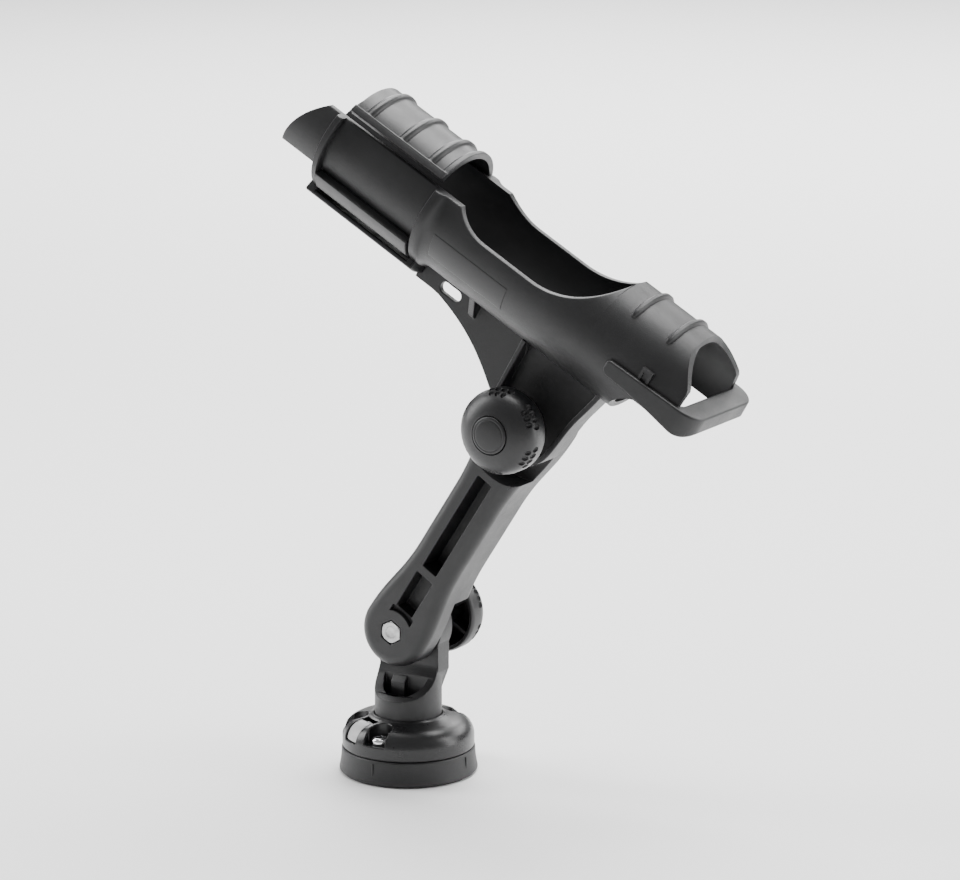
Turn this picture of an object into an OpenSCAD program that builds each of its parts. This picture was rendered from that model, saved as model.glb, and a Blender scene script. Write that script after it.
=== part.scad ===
// Rod holder on an adjustable arm with a quick-release deck base.
// Units are millimetres, +Z is up, the arm and cradle swing in the XZ plane
// and the origin is the centre of the base's underside.

/* [Base] */
// Radius of the deck plate at the deck
base_r = 37.5; // [35:0.5:40]
// Radius of the deck plate at the parting line
plate_top_r = 36.2; // [34:0.1:38]
// Height of the parting line between plate and housing
parting_z = 13.4; // [10:0.2:16]
// Height of the top of the housing
housing_top = 31.5; // [28:0.5:36]
// Radius of the housing's side wall
housing_r = 35.8; // [33:0.1:37]
// Pitch radius of the deck screw holes
deck_hole_pitch_r = 26; // [22:0.5:29]
// Radius of a deck screw hole
deck_hole_r = 2.75; // [2:0.05:3.5]
// Direction of the release button round the base, degrees
button_dir = -121; // [-180:1:180]
// Half width of the release button
button_half = 5.6; // [4:0.1:8]
// Travel of the release button
button_travel = 3; // [1:0.5:4]

/* [Post] */
// Radius of the post
post_r = 18.2; // [16:0.1:20]
// Height of the lower pivot
pivot_z = 80; // [72:0.5:90]
// Radius of the ears round both pivots
ear_r = 20; // [17:0.5:23]
// Outer face of the post's ear
post_ear_y = 12.5; // [10:0.5:16]

/* [Arm] */
// Distance between the two pivots
arm_length = 146; // [130:1:160]
// Lean of the arm from vertical, degrees
arm_lean = 32.8; // [0:0.1:60]
// Half width of the arm between its bosses
arm_half = 14.6; // [12:0.2:18]
// Half thickness of the arm
arm_y = 17.4; // [14:0.1:19]
// Radius of the shoulders that clear the opposite ear
shoulder_r = 34; // [28:0.5:38]

/* [Pivots] */
// Half the gap between the ears at each pivot
ear_gap = 0.8; // [0.4:0.1:1.5]
// Radius of the pivot bolt
bolt_r = 3.4; // [3:0.1:5]
// Radial running clearance on the pivot bolt
bolt_clearance = 0.06; // [0.02:0.01:0.1]
// Size of the bolt head across its corners
hex_corners = 12.8; // [11:0.1:16]

/* [Knobs] */
// Radius of the knob's skirt
knob_r = 22.5; // [20:0.1:25]
// Height of the knob's open rim above its bearing face
knob_rim = 16.4; // [12:0.2:20]
// Height of the knob's shoulder above its bearing face
knob_shoulder = 25; // [20:0.2:28]
// Overall height of the knob
knob_top = 37; // [32:0.5:42]
// Radius of the knob's cap
cap_r = 9.8; // [8:0.1:12]

/* [Cradle] */
// Tilt of the cradle's bore above horizontal, degrees
bore_tilt = 30; // [0:0.5:60]
// Height of the bore's axis above the upper pivot
bore_h = 66.6; // [60:0.2:75]
// Inner radius of the cradle
bore_r = 27.5; // [25:0.1:30]
// Outer radius of the cradle's barrel
barrel_r = 31; // [29:0.1:33]
// Outer radius of the neck under the locking cover
neck_r = 29.8; // [28.5:0.1:30.5]
// Radius of the two flanges that trap the cover
flange_r = 33.7; // [32:0.1:36]
// Station of the rear flange along the bore
rear_flange = 97; // [90:0.5:104]
// Station of the front flange along the bore
front_flange = 165; // [158:0.5:172]
// Station of the tongue's tip along the bore
tongue_tip = 191; // [180:0.5:200]
// Station of the butt mouth along the bore
butt_end = -75; // [-85:0.5:-60]
// Depth below the bore's axis of the side walls over the open underside
under_h = 9.5; // [5:0.5:12]
// Depth below the bore's axis of the tongue's flat underside
tongue_under_h = 15.2; // [12:0.2:24]
// Outer radius of the rail under the neck
rail_r = 38.4; // [37.5:0.1:40]
// Half the rail's spread round the bore, degrees
rail_half_a = 32; // [20:1:40]

/* [Cover] */
// Inner radius of the locking cover
cover_in = 30.2; // [29.5:0.1:31]
// Outer radius of the locking cover
cover_out = 32.3; // [31:0.1:34]
// Radius of the cover's three ribs
cover_rib_r = 34; // [33:0.1:36]
// First edge of the cover round the bore, degrees from the top
cover_edge_a = 50; // [40:1:60]
// Second edge of the cover round the bore, degrees from the top
cover_edge_b = 120; // [110:1:170]

/* [Hidden] */

$fn = 96;
black = [0.06, 0.06, 0.065];
satin = [0.09, 0.09, 0.095];
steel = [0.75, 0.75, 0.76];
grey = [0.62, 0.62, 0.62];
eps = 0.02;
screw_dirs = [button_dir + 31, button_dir - 31, button_dir + 180];
screw_pitch_r = 28;
pocket_floor = 20.8;
socket_r = 13;
spigot_gap = 0.15;
post_foot = 6;
bolt_hole_r = bolt_r + bolt_clearance;
face_recess = 3;
washer_t = 1.3;
cup_y = -17;
cup_floor_y = -9.5;
lower_seat = post_ear_y + 1.6;
upper_seat = -cup_floor_y + 1.6;
web_y = [-4.4, -ear_gap];

// ---------- placing ----------
module at_arm() translate([0, 0, pivot_z]) rotate([0, arm_lean, 0]) children();
module at_cradle()
    at_arm() translate([0, 0, arm_length]) rotate([0, bore_tilt - arm_lean, 0]) children();
// Turns a shape drawn up +Z so that it points along +Y (dir 1) or -Y (dir -1).
module facing_y(dir, y = 0) translate([0, y, 0]) rotate([-90 * dir, 0, 0]) children();
// A slab drawn in the XZ plane, between two Y faces.
module slab(y0, y1) translate([0, y1, 0]) rotate([90, 0, 0]) linear_extrude(y1 - y0) children();
// A round bar across the XZ plane, between two Y faces.
module bar_y(x, z, r, y0, y1) translate([x, y0, z]) rotate([-90, 0, 0]) cylinder(r = r, h = y1 - y0);
// A round bar on the bore's axis, between two stations.
module bar_bore(r, s0, s1) translate([-s1, 0, bore_h]) rotate([0, 90, 0]) cylinder(r = r, h = s1 - s0);
// A wedge about the bore's axis, angles measured from the top towards -Y.
module wedge(a0, a1, s0, s1, r = 60)
    translate([-s1, 0, bore_h]) rotate([0, 90, 0]) linear_extrude(s1 - s0)
        polygon(concat([[0, 0]], [for (i = [0:12]) let (a = a0 + (a1 - a0) * i / 12)
            [-r * cos(a), -r * sin(a)]]));

function arc(cx, cy, r, a0, a1, n = 8) =
    [for (i = [0:n]) let (a = a0 + (a1 - a0) * i / n) [cx + r * cos(a), cy + r * sin(a)]];
function bezier(p, q, r, s, n = 12) =
    [for (i = [0:n]) let (t = i / n, u = 1 - t)
        u * u * u * p + 3 * u * u * t * q + 3 * u * t * t * r + t * t * t * s];

// ---------- base ----------
module deck_plate() color(black) difference() {
    union() {
        rotate_extrude() polygon(concat(
            [[0, 0], [base_r - 1, 0], [base_r, 1]],
            bezier([base_r, 2], [base_r - 0.9, 6], [plate_top_r, 9], [plate_top_r, parting_z - 0.8], 8),
            [[plate_top_r - 0.8, parting_z], [plate_top_r - 3.4, parting_z],
             [plate_top_r - 3.4, 4], [0, 4]]));
        for (a = screw_dirs) rotate(a) translate([screw_pitch_r, 0, 0]) cylinder(r = 4.2, h = 18.4);
        for (i = [0:3]) rotate(90 * i)
            translate([plate_top_r - 2, -0.8, 1]) cube([2.6, 1.6, parting_z - 2.5]);
    }
    for (a = screw_dirs) rotate(a) translate([screw_pitch_r, 0, 3]) cylinder(r = 2.06, h = 20);
    for (i = [0:2]) rotate(120 * i) translate([deck_hole_pitch_r, 0, -1])
        cylinder(r = deck_hole_r, h = 8);
}

module socket_star(r, z0, z1) {
    translate([0, 0, z0]) cylinder(r = r, h = z1 - z0);
    for (i = [0:7]) rotate(45 * i + 22.5) translate([socket_r, 0, z0])
        cylinder(r = r - socket_r + 2.4, h = z1 - z0, $fn = 32);
}

module button_prism(grow, r0, r1, z0, z1) rotate(button_dir)
    translate([r0, -button_half - grow, z0]) cube([r1 - r0, 2 * (button_half + grow), z1 - z0]);

module base_housing() color(satin) difference() {
    union() {
        rotate_extrude() polygon(concat(
            [[0, parting_z + 0.1], [housing_r - 0.6, parting_z + 0.1], [housing_r, parting_z + 0.9],
             [housing_r, 19]],
            arc(housing_r - 10.5, 19, 10.5, 8, 84, 12),
            bezier([25.2, 29.7], [22, 30.3], [post_r + 1.4, 30.6], [post_r + 1.2, housing_top], 8),
            [[0, housing_top]]));
        translate([0, 0, post_foot - 1.5]) cylinder(r = 18.4, h = parting_z);
    }
    rotate_extrude() polygon([[18.4, 13], [32.4, 13], [32.4, 18.6], [18.4, 18.6]]);
    socket_star(socket_r + spigot_gap, post_foot, housing_top + 1);
    for (a = screw_dirs) rotate(a) translate([screw_pitch_r, 0, 0]) {
        translate([0, 0, pocket_floor]) cylinder(r = 6.4, h = 20);
        translate([2, -6.4, pocket_floor]) cube([12, 12.8, 20]);
        cylinder(r = 2.3, h = 30);
    }
    button_prism(0.35, 17, 40, 19.4, 30.2);
}

module housing_screw(dir) color(steel) rotate(dir) translate([screw_pitch_r, 0, 0]) difference() {
    union() {
        translate([0, 0, 4]) cylinder(r = 2, h = pocket_floor - 4 + 0.2);
        translate([0, 0, pocket_floor + 0.1]) rotate_extrude() polygon(concat(
            [[0, 0], [4.9, 0], [5.1, 0.5], [5.1, 1.5]], arc(3.1, 1.5, 2, 10, 80, 5), [[0, 3.7]]));
    }
    for (a = [0, 90]) rotate(a) translate([-2.6, -0.55, pocket_floor + 2]) cube([5.2, 1.1, 4]);
}
module housing_screw_1() housing_screw(screw_dirs[0]);
module housing_screw_2() housing_screw(screw_dirs[1]);
module housing_screw_3() housing_screw(screw_dirs[2]);

module release_button() color(grey) difference() {
    union() {
        intersection() {
            button_prism(0, 25, 36, 19.8, 29.8);
            rotate_extrude() polygon(concat(
                [[20, 19], [housing_r - 1.1, 19]], arc(housing_r - 11.6, 19.2, 10.5, 2, 84, 10),
                [[20, 29.6]]));
        }
        rotate(button_dir) translate([22, -3.6, 20.4]) cube([4, 7.2, 8]);
    }
    rotate(button_dir) translate([21, 0, 24.4]) rotate([0, 90, 0]) cylinder(r = 2.7, h = 4.7);
}

module button_spring() color(steel) {
    turns = 5;
    steps = 20;
    n = turns * steps;
    wire = 0.28;
    coil = 2.1;
    x0 = 17.4;
    x1 = 22.3;
    pts = [for (i = [0:n], j = [0:7]) let (a = 360 * i / steps, b = 45 * j,
        rr = coil + wire * cos(b)) [x0 + (x1 - x0) * i / n + wire * sin(b), rr * cos(a), rr * sin(a)]];
    side = [for (i = [0:n - 1], j = [0:7])
        [i * 8 + j, i * 8 + (j + 1) % 8, (i + 1) * 8 + (j + 1) % 8, (i + 1) * 8 + j]];
    caps = [[for (j = [7:-1:0]) j], [for (j = [0:7]) n * 8 + j]];
    rotate(button_dir) translate([0, 0, 24.4]) polyhedron(pts, concat(side, caps));
}

// ---------- post ----------
module post() color(black) difference() {
    union() {
        socket_star(socket_r, post_foot + 0.4, housing_top + 1);
        difference() {
            translate([0, 0, housing_top + 0.15]) cylinder(r = post_r, h = 40);
            slab(-30, ear_gap) polygon(concat([[-30, 58], [-30, 90], [30, 90], [30, 58]]));
            rotate([90, 0, 90]) translate([0, 0, -30]) linear_extrude(60)
                polygon(concat([[-30, 36]],
                    bezier([-20, 41], [-10, 43.5], [-1, 50], [ear_gap, 59], 10), [[-30, 59]]));
            slab(post_ear_y, 30) polygon([[-30, 50], [30, 50], [30, 90], [-30, 90]]);
        }
        slab(ear_gap, post_ear_y) polygon(concat(
            [[-12, 40], [12, 40], [17.4, 58]], arc(0, pivot_z, ear_r + 0.4, -28, 208, 48), [[-17.4, 58]]));
    }
    // hollow behind the scooped front, with its stop block left standing
    difference() {
        translate([0, 0, 39]) cylinder(r = 13.4, h = 40);
        slab(-1.6, 30) polygon([[-20, 30], [20, 30], [20, 90], [-20, 90]]);
        translate([-8, -5.2, 36]) cube([8.8, 5, 16]);
    }
    facing_y(1, -1) translate([0, -pivot_z, 0]) {
        cylinder(r = bolt_hole_r, h = 20);
        cylinder(r = 13.1, h = 1 + ear_gap + face_recess);
    }
    rotate(button_dir) translate([12, -3, 21]) cube([4, 6, 7]);
}

// Toothed ring let into an ear's inner face, drawn up +Z with its teeth at z = 0 downwards.
module face_disc(teeth) difference() {
    union() {
        translate([0, 0, 1.2]) cylinder(r = 13, h = face_recess + 0.5 - 1.2);
        difference() {
            cylinder(r = 13, h = 1.5);
            for (i = [0:teeth - 1]) rotate(360 * i / teeth) translate([6.5, -0.45, -1])
                cube([8, 0.9, 1.7]);
        }
    }
    translate([0, 0, -1]) cylinder(r = bolt_hole_r + 0.3, h = 9);
}
module post_face_disc() color(satin)
    facing_y(1, ear_gap - 0.5) translate([0, -pivot_z, 0]) face_disc(24);
module cradle_face_disc() color(satin)
    at_cradle() facing_y(-1, -ear_gap + 0.5) face_disc(24);

// ---------- arm ----------
module arm_outline() polygon(concat(
    arc(0, 0, ear_r, 180, 360, 32),
    bezier([ear_r, 0], [ear_r, 22], [arm_half, 30], [arm_half, 52], 10),
    bezier([arm_half, arm_length - 52], [arm_half, arm_length - 30],
           [ear_r, arm_length - 22], [ear_r, arm_length], 10),
    arc(0, arm_length, ear_r, 0, 180, 32),
    bezier([-ear_r, arm_length], [-ear_r, arm_length - 22],
           [-arm_half, arm_length - 30], [-arm_half, arm_length - 52], 10),
    bezier([-arm_half, 52], [-arm_half, 30], [-ear_r, 22], [-ear_r, 0], 10)));

module slot_front(z0, z1, half, y0) translate([-half, y0, z0]) cube([2 * half, 40, z1 - z0]);

module arm() color(black) at_arm() difference() {
    slab(-arm_y, arm_y) arm_outline();
    // laps for the post's ear and the cradle's ear
    bar_y(0, 0, shoulder_r, -ear_gap, 30);
    bar_y(0, arm_length, shoulder_r, -30, ear_gap);
    // long slot and pocket in the front face, the same again in the back face
    for (side = [0, 1]) translate([0, 0, side * arm_length]) rotate([180 * side, 0, 0]) {
        translate([-4.6, -arm_y - 1, 44.5]) cube([9.6, 14, 63]);
        translate([-5.6, -arm_y - 1, 14]) cube([11.2, 12, 25.4]);
    }
    // bolt holes and hexagonal head pockets
    bar_y(0, 0, bolt_hole_r, -30, 30);
    bar_y(0, arm_length, bolt_hole_r, -30, 30);
    facing_y(-1, -arm_y + 5.2) cylinder(r = hex_corners / 2 + 0.5, h = 9, $fn = 6);
    translate([0, 0, arm_length]) facing_y(1, arm_y - 5.2)
        cylinder(r = hex_corners / 2 + 0.5, h = 9, $fn = 6);
    // step round the lower boss
    difference() {
        translate([-9, -arm_y - 1, 9]) cube([18, 2.4, 6]);
        bar_y(0, 0, 12.5, -30, 0);
    }
}

// ---------- pivot hardware, drawn up +Z ----------
module hex_bolt(length) difference() {
    union() {
        intersection() {
            cylinder(r = hex_corners / 2, h = 4.8, $fn = 6);
            rotate_extrude() polygon([[0, 0], [5.7, 0], [7, 0.9], [7, 4.8], [0, 4.8]]);
        }
        translate([0, 0, 4.8 - eps]) cylinder(r = bolt_r, h = length);
    }
    translate([0, 0, -1]) cylinder(r = 3.2, h = 1.25);
}
module knob_washer() difference() {
    cylinder(r = 10.5, h = washer_t);
    translate([0, 0, -1]) cylinder(r = bolt_hole_r + 0.2, h = 5);
}
module knob_body() difference() {
    union() {
        difference() {
            rotate_extrude() polygon(concat(
                [[0, knob_rim], [knob_r - 1.2, knob_rim], [knob_r - 0.2, knob_rim + 0.8],
                 [knob_r, knob_rim + 2.5], [knob_r, knob_shoulder - 1]],
                bezier([knob_r, knob_shoulder], [knob_r - 0.4, knob_shoulder + 6],
                       [cap_r + 6, knob_top - 2.6], [cap_r + 1, knob_top - 1], 10),
                [[cap_r + 0.6, knob_top - 0.8], [0, knob_top - 0.8]]));
            rotate_extrude() polygon([[8.6, knob_rim - 1], [19.6, knob_rim - 1],
                [19.4, knob_rim + 9], [15, knob_rim + 14.5], [8.6, knob_rim + 14.5]]);
        }
        cylinder(r = 8.8, h = knob_rim + 12);
        for (i = [0:5]) rotate(60 * i) translate([7, -0.9, knob_rim + 2.6]) cube([12.8, 1.8, 9]);
    }
    translate([0, 0, -1]) cylinder(r = 6.05, h = 12);
    translate([0, 0, -1]) cylinder(r = bolt_r + 0.5, h = 28);
    translate([0, 0, knob_top - 3]) cylinder(r = cap_r + 0.1, h = 9);
    // finger dimples in six groups
    for (i = [0:5], j = [-1.5:1:1.5]) rotate(60 * i + 9.5 * j)
        translate([knob_r + 0.5, 0, knob_shoulder - 0.2]) rotate([0, 72, 0])
            cylinder(r = 1.35, h = 3, center = true, $fn = 24);
    for (i = [0:5], j = [-1:1:1]) rotate(60 * i + 9.5 * j)
        translate([knob_r - 0.5, 0, knob_shoulder + 4]) rotate([0, 55, 0])
            cylinder(r = 1, h = 3, center = true, $fn = 24);
}
module knob_nut() difference() {
    cylinder(r = 6, h = 10.8);
    translate([0, 0, -1]) cylinder(r = bolt_hole_r, h = 20);
}
module knob_cap() translate([0, 0, knob_top - 2.95]) rotate_extrude() polygon(concat(
    [[0, 0], [cap_r, 0], [cap_r, 2.2]], bezier([cap_r - 0.4, 2.6], [7, 3.4], [3, 3.7], [0, 3.7], 6)));

module lower_stack() at_arm() facing_y(1, lower_seat) children();
module upper_stack() at_arm() translate([0, 0, arm_length]) facing_y(-1, -upper_seat) children();
module lower_bolt() color(steel) at_arm() facing_y(1, -arm_y) hex_bolt(arm_y + lower_seat + 9);
module upper_bolt() color(steel) at_arm() translate([0, 0, arm_length])
    facing_y(-1, arm_y) hex_bolt(arm_y + upper_seat + 9);
module lower_washer() color(steel) lower_stack() translate([0, 0, -washer_t - 0.15]) knob_washer();
module upper_washer() color(steel) upper_stack() translate([0, 0, -washer_t - 0.15]) knob_washer();
module lower_knob() color(black) lower_stack() knob_body();
module upper_knob() color(black) upper_stack() knob_body();
module lower_knob_nut() color(steel) lower_stack() knob_nut();
module upper_knob_nut() color(steel) upper_stack() knob_nut();
module lower_knob_cap() color(satin) lower_stack() knob_cap();
module upper_knob_cap() color(satin) upper_stack() knob_cap();

// ---------- cradle ----------
// Everything cut away above the rod slot, drawn in the XZ plane of the cradle.
module rod_slot() {
    bar_y(-28, bore_h + 58, 50, -45, 45);
    bar_y(-60, bore_h + 40, 32, -45, 45);
    translate([-60, -45, bore_h + 8]) cube([32, 90, 60]);
    translate([-tongue_tip - 5, -45, bore_h + 16.5]) cube([tongue_tip - 55, 90, 60]);
}

// The mouth's slant, and the opening under the barrel behind the web.
module butt_cut() slab(-45, 45) {
    polygon([[-butt_end, bore_h - 45], [-butt_end + 40, bore_h - 45], [-butt_end + 40, bore_h + 45],
        [-butt_end - 15.2, bore_h + 45], [-butt_end - 12.8, bore_h + 26], [-butt_end, bore_h + 12]]);
    polygon(concat([[-butt_end + 40, bore_h - 45], [36, bore_h - 45]],
        bezier([36, bore_h - 31], [37, bore_h - 24], [42, bore_h - 14], [52, bore_h - under_h], 10),
        [[-butt_end + 40, bore_h - under_h]]));
}

// Flat cut under the tongue.
module tongue_cut() translate([-tongue_tip - 5, -45, bore_h - 60])
    cube([tongue_tip + 5 - front_flange - 2.4, 90, 60 - tongue_under_h]);

// Rail under the neck that joins both flanges and keeps clear of the turning cover.
module neck_rail() intersection() {
    difference() {
        union() {
            bar_bore(rail_r, rear_flange - 3, front_flange + 4);
            bar_bore(flange_r, rear_flange - 3, front_flange + 4);
        }
        bar_bore(rail_r - 2.6, rear_flange + 1, front_flange - 2);
        bar_bore(neck_r - 1, rear_flange - 9, front_flange + 9);
    }
    wedge(180 - rail_half_a, 180 + rail_half_a, rear_flange - 9, front_flange + 9);
}

module cradle_barrel() color(black) at_cradle() difference() {
    union() {
        bar_bore(barrel_r, butt_end - 3, rear_flange);
        bar_bore(neck_r, rear_flange - 1, front_flange);
        bar_bore(flange_r, rear_flange - 3, rear_flange + 1);
        bar_bore(flange_r, front_flange - 2, front_flange + 2);
        intersection() {
            bar_bore(neck_r, front_flange, tongue_tip);
            bar_y(-143.4, bore_h - 19.8, 48, -45, 45);
        }
        for (s = [-27, -50]) intersection() {
            bar_bore(barrel_r + 1.6, s - 1.8, s + 1.8);
            wedge(-44, 44, s - 5, s + 5);
        }
        neck_rail();
    }
    bar_bore(bore_r, butt_end - 10, tongue_tip + 5);
    rod_slot();
    butt_cut();
    tongue_cut();
    for (side = [0, 1]) mirror([0, side, 0]) side_panel_shape(0);
}

// Curved panel let into the barrel's side; a gap of 0 gives the recess it lies in.
module side_panel_shape(gap) intersection() {
    difference() {
        bar_bore(barrel_r + (gap == 0 ? 1 : 0), 36 + gap, 86 - gap);
        bar_bore(barrel_r - 0.8 + gap / 2, 30, 92);
    }
    wedge(95 + gap, 122 - gap, 30, 92);
}
module side_panel_near() color(satin) at_cradle() side_panel_shape(0.15);
module side_panel_far() color(satin) at_cradle() mirror([0, 1, 0]) side_panel_shape(0.15);

web_left = concat(
    [[-96.5, 40], [-96.5, 24.8], [-84, 24.8]],
    bezier([-80, 24.4], [-58, 19.6], [-46, 12], [-34, 3], 14));
web_right = concat(bezier([18.6, -12.6], [24.5, -6], [23.2, 10], [27.5, 24], 8),
    [[29.4, 31], [31.2, 38], [32.4, 44]]);
ear_bottom = arc(0, 0, 22.5, 198, 326, 24);

module web_outline() polygon(concat(web_left, ear_bottom, web_right));
module cup_outline() polygon(concat([[-21.5, 40], [-21.5, -6]], ear_bottom, web_right));
module cup_inside() polygon(concat([[-18.9, 50], [-18.9, -6]], arc(0, 0, 19.9, 198, 322, 24),
    bezier([15.7, -12.2], [21.7, -6], [20.6, 10], [24.7, 24], 8), [[26.6, 31], [28.4, 38], [30.6, 50]]));

// Triangular stiffener between the web and the barrel, on the -Y side.
module gusset(s) translate([-s - 2, 0, 0]) rotate([90, 0, 90]) linear_extrude(4)
    polygon([[1.5, 42], [1.5, 26], [-4.4, 26], [-7, 27.5], [-17, 42]]);

module cradle_web() color(black) at_cradle() difference() {
    union() {
        slab(web_y[0], web_y[1]) web_outline();
        slab(cup_y, web_y[1]) cup_outline();
        for (side = [0, 1]) mirror([0, side, 0]) gusset(57);
        gusset(23.5);
        mirror([0, 1, 0]) gusset(20);
    }
    slab(cup_y - 1, cup_floor_y) cup_inside();
    bar_bore(barrel_r, -120, 220);
    bar_bore(rail_r, rear_flange - 3, rear_flange + 9);
    facing_y(1, -30) cylinder(r = bolt_hole_r, h = 60);
    facing_y(-1, 1) cylinder(r = 13.1, h = 1 + ear_gap + face_recess);
    // tether hole
    for (x = [-70.5, -78]) bar_y(x, 30, 3.1, -20, 20);
    translate([-78, -20, 26.9]) cube([7.5, 40, 6.2]);
}

// Loop behind the mouth: a plan outline crossed with a side profile.
module rear_loop() color(black) at_cradle() difference() {
    intersection() {
        translate([0, 0, bore_h - 20]) linear_extrude(40) difference() {
            polygon(concat([[31, -33.8]], arc(77, -22.3, 11.5, 270, 360), arc(77, 22.3, 11.5, 0, 90),
                [[31, 33.8]]));
            polygon(concat([[30, -29.6]], arc(71, -24.6, 5, 270, 360), arc(71, 24.6, 5, 0, 90),
                [[30, 29.6]]));
        }
        slab(-40, 40) polygon(concat([[31, bore_h - 4], [33, bore_h - 6], [46, bore_h - 6.5],
                [62, bore_h - 8]],
            bezier([76, bore_h - 9.8], [82, bore_h - 10.8], [87, bore_h - 9], [88.5, bore_h - 5], 6),
            [[88.5, bore_h + 3.4], [75, bore_h + 3.6], [33, bore_h + 2.2], [31, bore_h + 1.2]]));
    }
    bar_bore(barrel_r, butt_end, 0);
}

module locking_cover() color(satin) at_cradle() difference() {
    union() {
        bar_bore(cover_out, rear_flange + 1.5, front_flange - 2.5);
        for (s = [rear_flange + 3.4, 107.6 + 3, 130.5, 153.3]) bar_bore(cover_rib_r, s - 1.9, s + 1.9);
        intersection() {
            bar_bore(cover_rib_r + 1, rear_flange + 1.5, front_flange - 2.5);
            union() {
                wedge(cover_edge_a - 7, cover_edge_a, 90, 170);
                wedge(cover_edge_b, cover_edge_b + 20, 90, 170);
            }
        }
    }
    bar_bore(cover_in, rear_flange, front_flange);
    wedge(cover_edge_a, cover_edge_b, 90, 170);
}

deck_plate();
base_housing();
release_button();
button_spring();
housing_screw_1();
housing_screw_2();
housing_screw_3();
post();
post_face_disc();
arm();
lower_bolt();
lower_washer();
lower_knob();
lower_knob_nut();
lower_knob_cap();
upper_bolt();
upper_washer();
upper_knob();
upper_knob_nut();
upper_knob_cap();
cradle_face_disc();
cradle_barrel();
cradle_web();
rear_loop();
side_panel_near();
side_panel_far();
locking_cover();
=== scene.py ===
"""Finished look of a rod holder: a tubular cradle on a two-pivot clamp arm and a quick-release deck base.

Lengths are in millimetres until a mesh is made; the scene itself is in metres, +Z up.
"""
import math

import bmesh
import bpy
from mathutils import Matrix, Vector


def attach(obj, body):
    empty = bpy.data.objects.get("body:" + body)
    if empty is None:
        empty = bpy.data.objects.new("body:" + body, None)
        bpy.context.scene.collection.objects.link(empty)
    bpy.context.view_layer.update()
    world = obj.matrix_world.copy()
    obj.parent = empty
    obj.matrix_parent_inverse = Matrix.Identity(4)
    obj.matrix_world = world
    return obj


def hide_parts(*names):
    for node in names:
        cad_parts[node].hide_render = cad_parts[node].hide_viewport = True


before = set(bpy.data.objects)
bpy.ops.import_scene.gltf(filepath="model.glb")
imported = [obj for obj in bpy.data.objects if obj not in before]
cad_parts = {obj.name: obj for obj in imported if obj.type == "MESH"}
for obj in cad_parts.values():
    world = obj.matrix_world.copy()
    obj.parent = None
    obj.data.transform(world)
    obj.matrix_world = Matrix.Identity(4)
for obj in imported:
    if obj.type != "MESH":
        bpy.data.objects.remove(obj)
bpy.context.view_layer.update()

MM = 0.001
BODY_SLOT = "body"

# ---------------------------------------------------------------- the part's own sizes
PIVOT_Z = 80.0
ARM_LENGTH = 146.0
ARM_LEAN = math.radians(32.8)
BORE_TILT = math.radians(30.0)
BORE_H = 66.6
BORE_R = 27.5
BARREL_R = 31.0
SEAT_R = BARREL_R - 0.5
NECK_R = 29.8
FLANGE_R = 33.7
REAR_FLANGE = 97.0
FRONT_FLANGE = 165.0
ARM_Y = 17.4
EAR_GAP = 0.8
EAR_R = 20.0
ARM_HALF = 14.6
SHOULDER_R = 34.0
POST_EAR_Y = 12.5
POST_R = 18.2
BOLT_R = 3.4
BOLT_HOLE_R = 3.46
DISC_SEAT_R = 13.1
DISC_SEAT_Y = 3.8
HOUSING_TOP = 31.5
HOUSING_R = 35.8
PARTING_Z = 13.4
DECK_HOLE_R = 2.75
DECK_HOLE_PITCH_R = 26.0
BUTTON_DIR = math.radians(-121)
BUTTON_HALF = 5.6
SCREW_DIRS = [BUTTON_DIR + math.radians(a) for a in (31, -31, 180)]
SCREW_PITCH_R = 28.0
POCKET_R = 6.4
POCKET_FLOOR = 20.8
LOWER_SEAT = POST_EAR_Y + 1.6
UPPER_SEAT = 11.1
KNOB_RIM = 16.4
KNOB_SHOULDER = 25.0
KNOB_TOP = 37.0
KNOB_R = 22.5
CAP_R = 9.8
HEX_CORNERS = 12.8

# ---------------------------------------------------------------- places of the moving groups
AT_BASE = Matrix.Identity(4)
AT_BUTTON = Matrix.Rotation(BUTTON_DIR, 4, "Z")
AT_ARM = Matrix.Translation((0, 0, PIVOT_Z)) @ Matrix.Rotation(ARM_LEAN, 4, "Y")
AT_UPPER_PIVOT = AT_ARM @ Matrix.Translation((0, 0, ARM_LENGTH))
AT_CRADLE = AT_UPPER_PIVOT @ Matrix.Rotation(BORE_TILT - ARM_LEAN, 4, "Y")
OUT_FRONT = Matrix.Rotation(math.radians(90), 4, "X")
OUT_BACK = Matrix.Rotation(math.radians(-90), 4, "X")
ALONG_X = Matrix.Rotation(math.radians(-90), 4, "Y")
LOWER_STACK = AT_ARM @ Matrix.Translation((0, LOWER_SEAT, 0)) @ OUT_BACK
UPPER_STACK = AT_UPPER_PIVOT @ Matrix.Translation((0, -UPPER_SEAT, 0)) @ OUT_FRONT
LOWER_HEAD = AT_ARM @ Matrix.Translation((0, -ARM_Y, 0)) @ OUT_BACK
UPPER_HEAD = AT_UPPER_PIVOT @ Matrix.Translation((0, ARM_Y, 0)) @ OUT_FRONT


# ---------------------------------------------------------------- outlines
def arc(cx, cy, radius, start, end, steps=12):
    """Points on a circle from one angle to another, in degrees."""
    angles = [math.radians(start + (end - start) * i / steps) for i in range(steps + 1)]
    return [(cx + radius * math.cos(a), cy + radius * math.sin(a)) for a in angles]


def bezier(p, q, r, s, steps=14):
    """Points on a cubic curve between p and s."""
    points = []
    for i in range(steps + 1):
        t = i / steps
        u = 1 - t
        weights = (u * u * u, 3 * u * u * t, 3 * u * t * t, t * t * t)
        points.append(tuple(sum(w * v[k] for w, v in zip(weights, (p, q, r, s))) for k in (0, 1)))
    return points


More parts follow.
